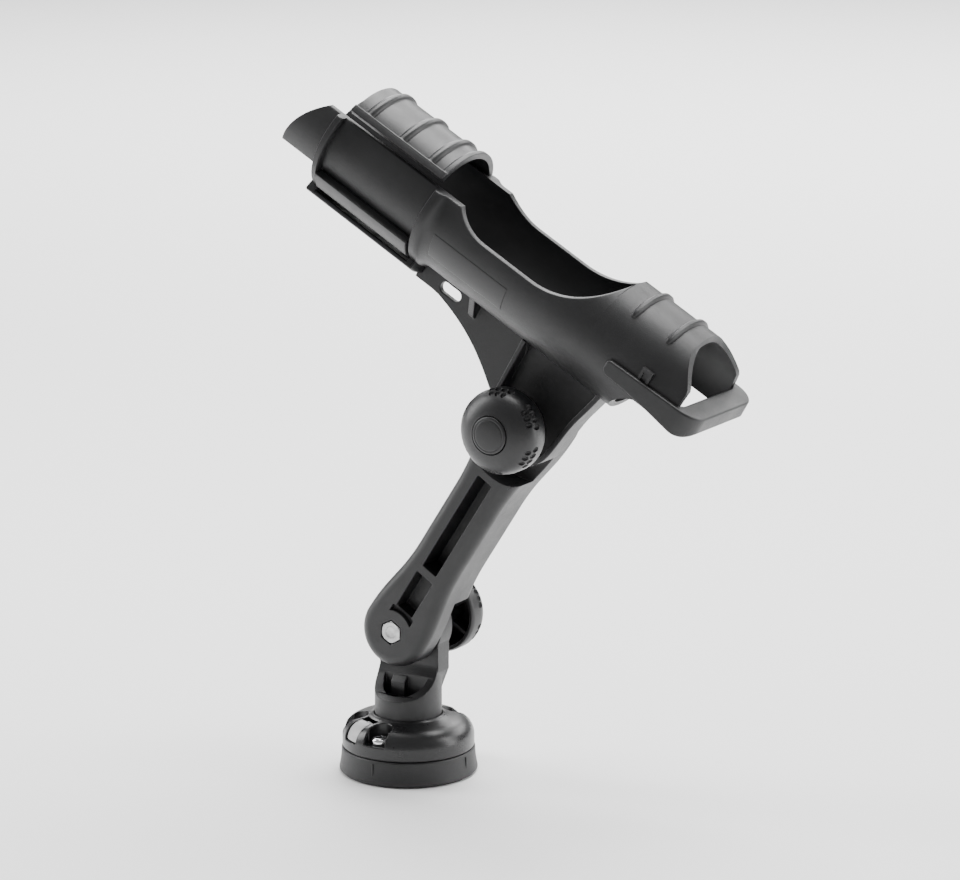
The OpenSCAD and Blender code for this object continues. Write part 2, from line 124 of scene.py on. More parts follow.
def tidy_outline(points, closed=True, gap=0.05):
    """The same outline without points that sit on top of their neighbour."""
    kept = []
    for p in points:
        if not kept or math.dist(p, kept[-1]) > gap:
            kept.append(p)
    if closed and math.dist(kept[0], kept[-1]) <= gap:
        kept.pop()
    return kept


# ---------------------------------------------------------------- making pieces
def new_piece(name, vertices, faces):
    """A mesh object at the origin from millimetre vertices."""
    mesh = bpy.data.meshes.new(name)
    mesh.from_pydata([Vector(v) * MM for v in vertices], [], faces)
    mesh.update()
    piece = bpy.data.objects.new(name, mesh)
    bpy.context.scene.collection.objects.link(piece)
    return piece


def in_metres(place):
    """A place given in millimetres, with its offset in metres."""
    matrix = place.copy()
    matrix.translation *= MM
    return matrix


def settle(piece, place=AT_BASE):
    """Applies the piece's modifiers, then its place."""
    depsgraph = bpy.context.evaluated_depsgraph_get()
    finished = bpy.data.meshes.new_from_object(piece.evaluated_get(depsgraph), depsgraph=depsgraph)
    piece.modifiers.clear()
    piece.data = finished
    piece.data.transform(in_metres(place))
    return piece


def clean(piece, gap=0.02):
    """Merges doubled points and turns every face outwards."""
    work = bmesh.new()
    work.from_mesh(piece.data)
    bmesh.ops.remove_doubles(work, verts=work.verts, dist=gap * MM)
    bmesh.ops.dissolve_degenerate(work, edges=work.edges, dist=gap * MM)
    bmesh.ops.recalc_face_normals(work, faces=work.faces)
    work.to_mesh(piece.data)
    work.free()
    return piece


def slab(name, outline, y0, y1):
    """A plate with an outline in XZ between two Y faces."""
    outline = tidy_outline(outline)
    n = len(outline)
    vertices = [(x, y0, z) for x, z in outline] + [(x, y1, z) for x, z in outline]
    faces = [list(range(n)), list(range(2 * n - 1, n - 1, -1))]
    faces += [[i, n + i, n + (i + 1) % n, (i + 1) % n] for i in range(n)]
    return clean(new_piece(name, vertices, faces))


def turned(name, profile, place=AT_BASE, steps=96):
    """A turned shape about Z from a profile of (radius, height) that runs from top to bottom."""
    profile = tidy_outline(profile, closed=False)
    piece = new_piece(name, [(r, 0, z) for r, z in profile], [])
    work = bmesh.new()
    work.from_mesh(piece.data)
    work.verts.ensure_lookup_table()
    for i in range(len(profile) - 1):
        work.edges.new((work.verts[i], work.verts[i + 1]))
    work.to_mesh(piece.data)
    work.free()
    screw = piece.modifiers.new("turn", "SCREW")
    screw.steps = screw.render_steps = steps
    screw.use_merge_vertices = True
    screw.merge_threshold = 0.01 * MM
    screw.use_smooth_shade = True
    settle(piece, place)
    return clean(piece)


def bar(name, radius, z0, z1, place=AT_BASE, steps=64):
    """A plain round bar along Z, used to cut with."""
    return turned(name, [(0, z1), (radius, z1), (radius, z0), (0, z0)], place, steps)


def bar_y(name, x, z, radius, y0, y1, steps=96):
    """A round bar across the XZ plane, used to cut with."""
    return bar(name, radius, y0, y1, Matrix.Translation((x, 0, z)) @ OUT_BACK, steps)


def block(name, low, high, place=AT_BASE):
    """A block between two corners, used to cut with."""
    corners = [(x, y, z) for x in (low[0], high[0]) for y in (low[1], high[1]) for z in (low[2], high[2])]
    faces = [(0, 1, 3, 2), (4, 6, 7, 5), (0, 4, 5, 1), (2, 3, 7, 6), (0, 2, 6, 4), (1, 5, 7, 3)]
    piece = new_piece(name, corners, faces)
    piece.data.transform(in_metres(place))
    return clean(piece)


def shape(piece, *tools, how="DIFFERENCE"):
    """Cuts, joins or crosses a piece with helper solids, which are then removed."""
    for tool in tools:
        boolean = piece.modifiers.new("shape", "BOOLEAN")
        boolean.operation = how
        boolean.solver = "EXACT"
        boolean.object = tool
        settle(piece)
        bpy.data.objects.remove(tool)
    return clean(piece)


def joined(name, *parts):
    """One piece from several that touch or pass through each other."""
    work = bmesh.new()
    for part in parts:
        work.from_mesh(part.data)
        bpy.data.objects.remove(part)
    piece = new_piece(name, [], [])
    work.to_mesh(piece.data)
    work.free()
    return piece


def soften(piece, width, segments=3, angle=35):
    """Rounds a piece's edges and evens out its shading, as a live stack."""
    rounding = piece.modifiers.new("rounded edges", "BEVEL")
    rounding.width = width * MM
    rounding.segments = segments
    rounding.limit_method = "ANGLE"
    rounding.angle_limit = math.radians(angle)
    rounding.use_clamp_overlap = False
    rounding.miter_outer = "MITER_ARC"
    shading = piece.modifiers.new("even shading", "WEIGHTED_NORMAL")
    shading.keep_sharp = False
    for face in piece.data.polygons:
        face.use_smooth = True
    return piece


def dress(piece, body, slot, material, *nodes):
    """Gives a finished piece its body, material and the CAD nodes it stands for. The slot argument is not
    used.
    """
    piece.data.materials.clear()
    piece.data.materials.append(material)
    for face in piece.data.polygons:
        face.use_smooth = True
    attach(piece, body)
    if nodes:
        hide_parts(*nodes)
    return piece


# ---------------------------------------------------------------- materials
def moulded_plastic(name, deep, pale, matt, gloss, grain, grain_depth):
    """Moulded nylon: a fine spark-eroded grain, slow drifts of tone and shine, and faint handling marks."""
    material = bpy.data.materials.new(name)
    material.use_nodes = True
    tree = material.node_tree
    nodes, links = tree.nodes, tree.links
    nodes.clear()

    output = nodes.new("ShaderNodeOutputMaterial")
    output.label = "moulded surface"
    output.location = (1200, 0)
    surface = nodes.new("ShaderNodeBsdfPrincipled")
    surface.label = "nylon"
    surface.location = (900, 0)
    surface.inputs["Metallic"].default_value = 0.0
    surface.inputs["IOR"].default_value = 1.5
    place = nodes.new("ShaderNodeTexCoord")
    place.label = "place on the part"
    place.location = (-900, 0)

    tone_frame = nodes.new("NodeFrame")
    tone_frame.label = "tone of the moulding"
    cloud = nodes.new("ShaderNodeTexNoise")
    cloud.label = "slow drift of pigment"
    cloud.parent = tone_frame
    cloud.location = (-600, 400)
    cloud.inputs["Scale"].default_value = 38.0
    cloud.inputs["Detail"].default_value = 5.0
    cloud.inputs["Roughness"].default_value = 0.6
    speck = nodes.new("ShaderNodeTexNoise")
    speck.label = "glass fibre speckle"
    speck.parent = tone_frame
    speck.location = (-600, 160)
    speck.inputs["Scale"].default_value = 1500.0
    speck.inputs["Detail"].default_value = 2.0
    blend = nodes.new("ShaderNodeMix")
    blend.label = "speckle over drift"
    blend.parent = tone_frame
    blend.location = (-340, 320)
    blend.data_type = "FLOAT"
    blend.inputs[0].default_value = 0.35
    ramp = nodes.new("ShaderNodeValToRGB")
    ramp.label = "deep to pale black"
    ramp.parent = tone_frame
    ramp.location = (-100, 360)
    ramp.color_ramp.elements[0].position = 0.32
    ramp.color_ramp.elements[0].color = (*deep, 1)
    ramp.color_ramp.elements[1].position = 0.72
    ramp.color_ramp.elements[1].color = (*pale, 1)

    shine_frame = nodes.new("NodeFrame")
    shine_frame.label = "shine and handling marks"
    rub = nodes.new("ShaderNodeTexNoise")
    rub.label = "rubbed patches"
    rub.parent = shine_frame
    rub.location = (-600, -120)
    rub.inputs["Scale"].default_value = 70.0
    rub.inputs["Detail"].default_value = 7.0
    rub.inputs["Roughness"].default_value = 0.65
    stretch = nodes.new("ShaderNodeMapping")
    stretch.label = "marks run along the part"
    stretch.parent = shine_frame
    stretch.location = (-760, -360)
    stretch.inputs["Rotation"].default_value = (0.0, 0.52, 0.0)
    stretch.inputs["Scale"].default_value = (60.0, 900.0, 900.0)
    marks = nodes.new("ShaderNodeTexNoise")
    marks.label = "hairline marks"
    marks.parent = shine_frame
    marks.location = (-560, -360)
    marks.inputs["Scale"].default_value = 1.0
    marks.inputs["Detail"].default_value = 3.0
    shine_mix = nodes.new("ShaderNodeMix")
    shine_mix.label = "marks over patches"
    shine_mix.parent = shine_frame
    shine_mix.location = (-300, -220)
    shine_mix.data_type = "FLOAT"
    shine_mix.inputs[0].default_value = 0.3
    shine = nodes.new("ShaderNodeMapRange")
    shine.label = "gloss to matt"
    shine.parent = shine_frame
    shine.location = (-60, -180)
    shine.inputs["From Min"].default_value = 0.3
    shine.inputs["From Max"].default_value = 0.7
    shine.inputs["To Min"].default_value = gloss
    shine.inputs["To Max"].default_value = matt

    relief_frame = nodes.new("NodeFrame")
    relief_frame.label = "spark-eroded grain"
    coarse = nodes.new("ShaderNodeTexNoise")
    coarse.label = "grain of the mould"
    coarse.parent = relief_frame
    coarse.location = (-600, -640)
    coarse.inputs["Scale"].default_value = grain
    coarse.inputs["Detail"].default_value = 4.0
    coarse.inputs["Roughness"].default_value = 0.7
    pits = nodes.new("ShaderNodeTexVoronoi")
    pits.label = "tiny pits"
    pits.parent = relief_frame
    pits.location = (-600, -880)
    pits.inputs["Scale"].default_value = grain * 0.8
    height = nodes.new("ShaderNodeMath")
    height.label = "grain with pits"
    height.parent = relief_frame
    height.location = (-340, -740)
    height.operation = "MULTIPLY_ADD"
    height.inputs[1].default_value = 0.4
    bump = nodes.new("ShaderNodeBump")
    bump.label = "grain relief"
    bump.parent = relief_frame
    bump.location = (-60, -700)
    bump.inputs["Strength"].default_value = grain_depth
    bump.inputs["Distance"].default_value = 0.00012

    links.new(place.outputs["Object"], cloud.inputs["Vector"])
    links.new(place.outputs["Object"], speck.inputs["Vector"])
    links.new(place.outputs["Object"], rub.inputs["Vector"])
    links.new(place.outputs["Object"], stretch.inputs["Vector"])
    links.new(place.outputs["Object"], coarse.inputs["Vector"])
    links.new(place.outputs["Object"], pits.inputs["Vector"])
    links.new(stretch.outputs["Vector"], marks.inputs["Vector"])
    links.new(cloud.outputs["Fac"], blend.inputs[2])
    links.new(speck.outputs["Fac"], blend.inputs[3])
    links.new(blend.outputs[0], ramp.inputs["Fac"])
    links.new(rub.outputs["Fac"], shine_mix.inputs[2])
    links.new(marks.outputs["Fac"], shine_mix.inputs[3])
    links.new(shine_mix.outputs[0], shine.inputs["Value"])
    links.new(pits.outputs["Distance"], height.inputs[0])
    links.new(coarse.outputs["Fac"], height.inputs[2])
    links.new(height.outputs["Value"], bump.inputs["Height"])
    links.new(ramp.outputs["Color"], surface.inputs["Base Color"])
    links.new(shine.outputs["Result"], surface.inputs["Roughness"])
    links.new(bump.outputs["Normal"], surface.inputs["Normal"])
    links.new(surface.outputs["BSDF"], output.inputs["Surface"])
    return material


def stainless(name, dull, bright, rough_low, rough_high, lines):
    """Stainless steel: fine turning or drawing lines, and a slight drift of brightness."""
    material = bpy.data.materials.new(name)
    material.use_nodes = True
    tree = material.node_tree
    nodes, links = tree.nodes, tree.links
    nodes.clear()

    output = nodes.new("ShaderNodeOutputMaterial")
    output.label = "steel surface"
    output.location = (900, 0)
    surface = nodes.new("ShaderNodeBsdfPrincipled")
    surface.label = "stainless steel"
    surface.location = (600, 0)
    surface.inputs["Metallic"].default_value = 1.0
    surface.inputs["Anisotropic"].default_value = 0.3
    place = nodes.new("ShaderNodeTexCoord")
    place.label = "place on the part"
    place.location = (-900, 0)

    line_frame = nodes.new("NodeFrame")
    line_frame.label = "drawing lines"
    squeeze = nodes.new("ShaderNodeMapping")
    squeeze.label = "lines along one way"
    squeeze.parent = line_frame
    squeeze.location = (-680, -160)
    squeeze.inputs["Scale"].default_value = (lines, lines * 0.08, lines)
    grain = nodes.new("ShaderNodeTexNoise")
    grain.label = "drawn grain"
    grain.parent = line_frame
    grain.location = (-460, -160)
    grain.inputs["Scale"].default_value = 1.0
    grain.inputs["Detail"].default_value = 4.0
    roughness = nodes.new("ShaderNodeMapRange")
    roughness.label = "satin to bright"
    roughness.parent = line_frame
    roughness.location = (-200, -80)
    roughness.inputs["To Min"].default_value = rough_low
    roughness.inputs["To Max"].default_value = rough_high
    bump = nodes.new("ShaderNodeBump")
    bump.label = "depth of the lines"
    bump.parent = line_frame
    bump.location = (-200, -360)
    bump.inputs["Strength"].default_value = 0.25
    bump.inputs["Distance"].default_value = 0.00004

    tone_frame = nodes.new("NodeFrame")
    tone_frame.label = "tone of the metal"
    stain = nodes.new("ShaderNodeTexNoise")
    stain.label = "slight tarnish"
    stain.parent = tone_frame
    stain.location = (-460, 240)
    stain.inputs["Scale"].default_value = 260.0
    stain.inputs["Detail"].default_value = 5.0
    ramp = nodes.new("ShaderNodeValToRGB")
    ramp.label = "dull to bright metal"
    ramp.parent = tone_frame
    ramp.location = (-200, 260)
    ramp.color_ramp.elements[0].position = 0.3
    ramp.color_ramp.elements[0].color = (*dull, 1)
    ramp.color_ramp.elements[1].position = 0.62
    ramp.color_ramp.elements[1].color = (*bright, 1)

    links.new(place.outputs["Object"], squeeze.inputs["Vector"])
    links.new(place.outputs["Object"], stain.inputs["Vector"])
    links.new(squeeze.outputs["Vector"], grain.inputs["Vector"])
    links.new(grain.outputs["Fac"], roughness.inputs["Value"])
    links.new(grain.outputs["Fac"], bump.inputs["Height"])
    links.new(stain.outputs["Fac"], ramp.inputs["Fac"])
    links.new(ramp.outputs["Color"], surface.inputs["Base Color"])
    links.new(roughness.outputs["Result"], surface.inputs["Roughness"])
    links.new(bump.outputs["Normal"], surface.inputs["Normal"])
    links.new(surface.outputs["BSDF"], output.inputs["Surface"])
    return material


DEEP_BLACK = (0.006, 0.006, 0.0065)
PALE_BLACK = (0.012, 0.012, 0.013)

body_black = moulded_plastic("body_black", DEEP_BLACK, PALE_BLACK,
                             matt=0.52, gloss=0.36, grain=2200, grain_depth=0.5)
cover_black = moulded_plastic("cover_black", (0.007, 0.007, 0.0075), (0.014, 0.014, 0.015),
                              matt=0.46, gloss=0.32, grain=2400, grain_depth=0.35)
panel_black = moulded_plastic("panel_black", DEEP_BLACK, (0.01, 0.01, 0.011),
                              matt=0.4, gloss=0.28, grain=3000, grain_depth=0.2)
knob_black = moulded_plastic("knob_black", DEEP_BLACK, PALE_BLACK,
                             matt=0.44, gloss=0.32, grain=2600, grain_depth=0.35)
housing_black = moulded_plastic("housing_black", DEEP_BLACK, PALE_BLACK,
                                matt=0.36, gloss=0.24, grain=2600, grain_depth=0.3)
plate_black = moulded_plastic("plate_black", (0.008, 0.008, 0.0085), (0.015, 0.015, 0.016),
                              matt=0.58, gloss=0.44, grain=2000, grain_depth=0.55)
button_grey = moulded_plastic("button_grey", (0.42, 0.42, 0.42), (0.52, 0.52, 0.52),
                              matt=0.42, gloss=0.3, grain=2600, grain_depth=0.25)
satin_steel = stainless("satin_steel", (0.36, 0.36, 0.36), (0.52, 0.52, 0.52),
                        rough_low=0.24, rough_high=0.4, lines=900)
bright_steel = stainless("bright_steel", (0.62, 0.62, 0.63), (0.8, 0.8, 0.81),
                         rough_low=0.1, rough_high=0.2, lines=700)

# ---------------------------------------------------------------- deck base
plate_profile = [(0, 4), (32.8, 4), (32.8, 12.9), (33.3, PARTING_Z), (35.5, PARTING_Z)]
plate_profile += bezier((36.2, 12.8), (36.25, 9), (36.7, 5.2), (37.5, 1.9))
plate_profile += [(37.5, 0.9), (36.7, 0), (0, 0)]
plate = turned("deck_plate_finish", plate_profile, steps=128)
for i in range(3):
    turn = Matrix.Rotation(math.radians(120 * i), 4, "Z")
    shape(plate, bar("deck hole", DECK_HOLE_R, -1, 8, turn @ Matrix.Translation((DECK_HOLE_PITCH_R, 0, 0))))
ribs = []
for i in range(4):
    turn = Matrix.Rotation(math.radians(90 * i), 4, "Z")
    ribs.append(block("plate rib", (34, -0.55, 1.4), (36.9, 0.55, 11.6), turn))
plate = soften(joined("deck_plate_finish_ribbed", plate, *ribs), 0.3, 2, 40)
dress(plate, "base", "plate", plate_black, "deck_plate")

dome_profile = [(0, HOUSING_TOP)]
dome_profile += bezier((POST_R + 1.1, HOUSING_TOP), (POST_R + 1.7, 30.5), (22, 30.1), (26.2, 29.5))
dome_profile += arc(HOUSING_R - 10.5, 19, 10.5, 84, 4, 16)
dome_profile += [(HOUSING_R, 16), (HOUSING_R, 14.3), (HOUSING_R - 0.5, 13.6), (34, 13.5), (32.4, 13.5)]
dome_profile += [(32.4, 17), (30.5, 18.6), (18.4, 18.6), (18.4, 4.5), (0, 4.5)]
dome = turned("base_housing_finish", dome_profile, steps=128)
shape(dome, bar("socket", POST_R + 0.2, 22, 40, steps=96))
for direction in SCREW_DIRS:
    turn = Matrix.Rotation(direction, 4, "Z") @ Matrix.Translation((SCREW_PITCH_R, 0, 0))
    shape(dome, bar("well", POCKET_R, POCKET_FLOOR, 42, turn, 48))
    shape(dome, block("pocket mouth", (2, -POCKET_R, POCKET_FLOOR), (14, POCKET_R, 42), turn))
window_half = BUTTON_HALF + 0.35
shape(dome, block("button window", (17, -window_half, 19.4), (40, window_half, 30.2), AT_BUTTON))
soften(dome, 0.55, 3, 32)
dress(dome, "base", "housing", housing_black, "base_housing")

button_profile = [(20, 29.6)] + arc(HOUSING_R - 11.6, 19.2, 10.5, 84, 2, 14)
button_profile += [(HOUSING_R - 1.1, 19.6), (20, 19.6)]
button = turned("release_button_finish", button_profile, steps=128)
shape(button, block("button outline", (25, -BUTTON_HALF, 19.8), (37, BUTTON_HALF, 29.8), AT_BUTTON),
      how="INTERSECT")
shape(button, block("button tail", (22, -3.6, 20.4), (26, 3.6, 28.4), AT_BUTTON), how="UNION")
spring_axis = AT_BUTTON @ Matrix.Translation((0, 0, 24.4)) @ Matrix.Rotation(math.radians(90), 4, "Y")
shape(button, bar("spring seat", 2.8, 20, 25.8, spring_axis, 48))
soften(button, 0.6, 4, 35)
dress(button, "button", "button", button_grey, "release_button")

for i, direction in enumerate(SCREW_DIRS):
    turn = Matrix.Rotation(direction, 4, "Z") @ Matrix.Translation((SCREW_PITCH_R, 0, POCKET_FLOOR + 0.1))
    screw_profile = [(0, 3.7)] + arc(3.1, 1.6, 2, 84, 0, 8)
    screw_profile += [(5.1, 0.4), (4.8, 0), (2, 0), (2, -16.5), (0, -17.5)]
    screw = turned("housing_screw_%d_finish" % (i + 1), screw_profile, turn, 64)
    for quarter in (0.4, 0.4 + math.pi / 2):
        recess = turn @ Matrix.Rotation(quarter, 4, "Z")
        shape(screw, block("cross recess", (-2.7, -0.55, 1.7), (2.7, 0.55, 6), recess))
    soften(screw, 0.12, 2, 40)
    dress(screw, "base", "screw", bright_steel, "housing_screw_%d" % (i + 1))

# ---------------------------------------------------------------- post
post_profile = [(0, 70), (POST_R, 70), (POST_R, HOUSING_TOP + 0.15), (POST_R - 0.3, 24), (0, 24)]
post = turned("post_finish", post_profile, steps=128)
ear_outline = [(-12, 40), (12, 40), (18.3, 56)]
ear_outline += arc(0, PIVOT_Z, EAR_R + 0.4, -26, 206, 64) + [(-18.3, 56)]
ear = slab("post ear", ear_outline, EAR_GAP, POST_EAR_Y)
scoop_profile = [(-30, 36)] + bezier((-20, 41), (-10, 43.5), (-1, 50), (EAR_GAP, 59), 18)
scoop_profile += [(EAR_GAP, 80), (-30, 80)]
n = len(scoop_profile)
scoop = new_piece("scoop", [(x, y, z) for x in (-30, 30) for y, z in scoop_profile],
                  [list(range(n)), list(range(2 * n - 1, n - 1, -1))]
                  + [[i, n + i, n + (i + 1) % n, (i + 1) % n] for i in range(n)])
shape(post, clean(scoop))
shape(post, block("back of the post", (-30, POST_EAR_Y, 50), (30, 30, 90)))
shape(post, ear, how="UNION")
hollow = bar("hollow", 13.4, 39, 80)
shape(hollow, block("behind", (-20, -1.6, 30), (20, 30, 90)),
      block("stop block", (-8, -5.2, 30), (0.8, 2, 52)))
shape(post, hollow)
shape(post, bar_y("pivot hole", 0, PIVOT_Z, BOLT_HOLE_R, -2, 30, 48),
      bar_y("disc seat", 0, PIVOT_Z, DISC_SEAT_R, -2, DISC_SEAT_Y))
soften(post, 0.45, 3, 34)
dress(post, "base", BODY_SLOT, body_black, "post")

# ---------------------------------------------------------------- arm
outline = (arc(0, 0, EAR_R, 180, 360, 40)
           + bezier((EAR_R, 0), (EAR_R, 22), (ARM_HALF, 30), (ARM_HALF, 52), 16)
           + bezier((ARM_HALF, ARM_LENGTH - 52), (ARM_HALF, ARM_LENGTH - 30),
                    (EAR_R, ARM_LENGTH - 22), (EAR_R, ARM_LENGTH), 16)
           + arc(0, ARM_LENGTH, EAR_R, 0, 180, 40)
           + bezier((-EAR_R, ARM_LENGTH), (-EAR_R, ARM_LENGTH - 22),
                    (-ARM_HALF, ARM_LENGTH - 30), (-ARM_HALF, ARM_LENGTH - 52), 16)
           + bezier((-ARM_HALF, 52), (-ARM_HALF, 30), (-EAR_R, 22), (-EAR_R, 0), 16))
arm = slab("arm_finish", outline, -ARM_Y, ARM_Y)
edge = arm.modifiers.new("broad rounded edge", "BEVEL")
edge.width = 6.5 * MM
edge.segments = 9
edge.limit_method = "ANGLE"
edge.angle_limit = math.radians(60)
settle(arm)
shape(arm, bar_y("lower lap", 0, 0, SHOULDER_R, -EAR_GAP, 30, 128),
      bar_y("upper lap", 0, ARM_LENGTH, SHOULDER_R, -30, EAR_GAP, 128))
END_FOR_END = Matrix.Translation((0, 0, ARM_LENGTH)) @ Matrix.Rotation(math.pi, 4, "X")
for turn in (AT_BASE, END_FOR_END):
    slot = slab("long slot", [(-4.6, 44.5), (5, 44.5), (5, 107.5), (-4.6, 107.5)], -40, -ARM_Y + 15)
    pocket = slab("pocket", [(-5.6, 14), (5.6, 14), (5.6, 39.4), (-5.6, 39.4)], -40, -ARM_Y + 11)
    for cutter in (slot, pocket):
        cutter.data.transform(in_metres(turn))
    shape(arm, slot, pocket)
shape(arm, bar_y("lower hole", 0, 0, BOLT_HOLE_R, -30, 30, 48),
      bar_y("upper hole", 0, ARM_LENGTH, BOLT_HOLE_R, -30, 30, 48))
for head in (Matrix.Translation((0, -ARM_Y, 0)) @ OUT_BACK,
             Matrix.Translation((0, ARM_Y, ARM_LENGTH)) @ OUT_FRONT):
    shape(arm, bar("hexagonal pocket", HEX_CORNERS / 2 + 0.5, -9, 5.2, head, 6))
step = block("step round the boss", (-7.4, -ARM_Y - 1, 8.5), (7.4, -ARM_Y + 3, 14.5))
shape(step, bar_y("boss left standing", 0, 0, 12.5, -30, 0))
shape(arm, step)
arm.data.transform(in_metres(AT_ARM))
soften(arm, 0.5, 3, 40)
dress(arm, "arm", BODY_SLOT, body_black, "arm")


# ---------------------------------------------------------------- bolts, washers and knobs
def hex_head(name, length, place):
    """A bolt with a chamfered, slightly dished hexagon head and a plain shank."""
    head = bar(name, HEX_CORNERS / 2, 0, 4.8, steps=6)
    crown = turned("head chamfer", [(0, 5), (7, 5), (7, 1.1), (5.5, 0), (3.4, 0), (3.1, 0.28), (0, 0.28)])
    shape(head, crown, how="INTERSECT")
    end = 4.8 + length
    shank = turned("shank", [(0, end), (2.8, end), (BOLT_R, end - 0.6), (BOLT_R, 4.5), (0, 4.5)], steps=48)
    bolt = joined(name, head, shank)
    bolt.data.transform(in_metres(place))
    soften(bolt, 0.22, 2, 25)
    return bolt


def knob(name, place):
    """A mushroom knob: open rim, six inner ribs, finger dimples and a seat for its cap."""
    skirt = [(KNOB_R, KNOB_SHOULDER - 1), (KNOB_R, KNOB_RIM + 2.5), (KNOB_R - 0.3, KNOB_RIM + 1.1),
             (KNOB_R - 1, KNOB_RIM + 0.2), (KNOB_R - 1.8, KNOB_RIM)]
    inside = [(20.1, KNOB_RIM + 0.1), (19.6, KNOB_RIM + 0.8), (19.4, KNOB_RIM + 9), (15, KNOB_RIM + 14.5),
              (8.6, KNOB_RIM + 14.5), (8.8, KNOB_RIM), (8.8, 0.4), (8.4, 0), (3.9, 0)]
    crown = bezier((CAP_R + 1.4, KNOB_TOP - 1), (CAP_R + 6.4, KNOB_TOP - 2.2),
                   (KNOB_R - 0.5, KNOB_SHOULDER + 6.4), (KNOB_R, KNOB_SHOULDER), 18)
    cap_seat = [(3.9, KNOB_TOP - 3), (CAP_R + 0.1, KNOB_TOP - 3), (CAP_R + 0.2, KNOB_TOP - 1.1),
                (CAP_R + 0.7, KNOB_TOP - 0.75)]
    piece = turned(name, cap_seat + crown + skirt + inside + cap_seat[:1], steps=128)
    rib_set = []
    for i in range(6):
        turn = Matrix.Rotation(math.radians(60 * i), 4, "Z")
        rib_set.append(block("inner rib", (8, -0.9, KNOB_RIM + 2.6), (19.8, 0.9, KNOB_RIM + 12), turn))
    dimples = []
    for i in range(6):
        for row, count, radius, size in ((0, 4, KNOB_R + 0.1, 1.75), (1, 3, KNOB_R - 1.1, 1.5)):
            for j in range(count):
                turn = Matrix.Rotation(math.radians(60 * i + 9.6 * (j - (count - 1) / 2)), 4, "Z")
                tilt = Matrix.Rotation(math.radians(-14 - 20 * row), 4, "Y")
                spot = turn @ Matrix.Translation((radius, 0, KNOB_SHOULDER + 0.4 + 4.6 * row)) @ tilt
                pip = turned("dimple", arc(0, 0, 1, 90, -90, 8), steps=16)
                pip.data.transform(Matrix.Diagonal((2.1, size, size * 1.35, 1)))
                pip.data.transform(in_metres(spot))
                dimples.append(pip)
    shape(piece, joined("finger dimples", *dimples))
    piece = joined(name, piece, *rib_set)
    piece.data.transform(in_metres(place))
    piece.data.set_sharp_from_angle(angle=math.radians(34))
    return piece


def knob_cap(name, place):
    """The disc that closes the knob's face, with one fine ring."""
    profile = [(0, 3.75)] + bezier((3, 3.74), (5.5, 3.6), (7.2, 3.35), (7.9, 3.2), 6)
    profile += [(8.15, 2.9), (8.4, 3.08), (9.2, 2.85), (CAP_R - 0.1, 2.5), (CAP_R, 2.2), (CAP_R, 0), (0, 0)]
    return turned(name, profile, place @ Matrix.Translation((0, 0, KNOB_TOP - 2.95)), 96)


def washer(name, place):
    """A plain washer with broken edges."""
    profile = [(3.66, 1.3), (10.3, 1.3), (10.5, 1.1), (10.5, 0.2), (10.3, 0), (3.66, 0), (3.66, 1.3)]
    return turned(name, profile, place @ Matrix.Translation((0, 0, -1.45)), 64)


for level, stack, head, seat in (("lower", LOWER_STACK, LOWER_HEAD, LOWER_SEAT),
                                 ("upper", UPPER_STACK, UPPER_HEAD, UPPER_SEAT)):
    bolt = hex_head(level + "_bolt_finish", ARM_Y + seat + 9, head)
    dress(bolt, "arm", "bolt", satin_steel, level + "_bolt")
    dress(washer(level + "_washer_finish", stack), "arm", "bolt", satin_steel, level + "_washer")
    dress(knob(level + "_knob_finish", stack), level + "_knob", "knob", knob_black, level + "_knob")
    cap = knob_cap(level + "_knob_cap_finish", stack)
    dress(cap, level + "_knob", "knob", knob_black, level + "_knob_cap")

# ---------------------------------------------------------------- cradle barrel
# The bore's own frame: X up from the bore, Y across, Z along it towards the rod's tip.
AT_BORE = AT_CRADLE @ Matrix.Translation((0, 0, BORE_H)) @ ALONG_X
SLOT_H = 16.5
SLOT_LOW = 8.0
SLOT_REAR_S, SLOT_REAR_R = 28, 50
SLOT_FRONT_S, SLOT_FRONT_R = 60, 32
UNDER_H = 9.5
TONGUE_UNDER_H = 15.2
TONGUE_ROOT_S, TONGUE_S, TONGUE_R, TONGUE_DROP = 168, 143.4, 48, 19.8
BUTT_ROOT_S, BUTT_S = -52, -75
MOUTH_FOOT_H, MOUTH_BEND_H, MOUTH_BEND_S = 12, 26, -62.2
REAR_CENTRE_H = SLOT_LOW + SLOT_REAR_R
NOSE_S = SLOT_REAR_S - math.sqrt(SLOT_REAR_R ** 2 - (REAR_CENTRE_H - BARREL_R) ** 2)
NOSE_INNER_S = SLOT_REAR_S - math.sqrt(SLOT_REAR_R ** 2 - (REAR_CENTRE_H - BORE_R) ** 2)


def slot_height(s):
    """Height above the bore's axis at which the rod slot cuts the wall."""
    if s <= NOSE_S:
        return BARREL_R
    if s <= SLOT_REAR_S:
        return REAR_CENTRE_H - math.sqrt(SLOT_REAR_R ** 2 - (s - SLOT_REAR_S) ** 2)
    if s <= SLOT_FRONT_S:
        return SLOT_LOW
    along = min(s - SLOT_FRONT_S, SLOT_FRONT_R - 1)
    return min(SLOT_H, SLOT_LOW + SLOT_FRONT_R - math.sqrt(SLOT_FRONT_R ** 2 - along ** 2))


def tongue_end(h):
    """Where the tongue's slanted tip lies, by height above the axis."""
    return TONGUE_S + math.sqrt(TONGUE_R ** 2 - (h + TONGUE_DROP) ** 2)


def butt_mouth(h):
    """Where the slanted butt mouth lies, by height above the axis."""
    if h < MOUTH_FOOT_H:
        return BUTT_S
    if h < MOUTH_BEND_H:
        return BUTT_S + (MOUTH_BEND_S - BUTT_S) * (h - MOUTH_FOOT_H) / (MOUTH_BEND_H - MOUTH_FOOT_H)
    return MOUTH_BEND_S + 2.4 * (h - MOUTH_BEND_H) / 19


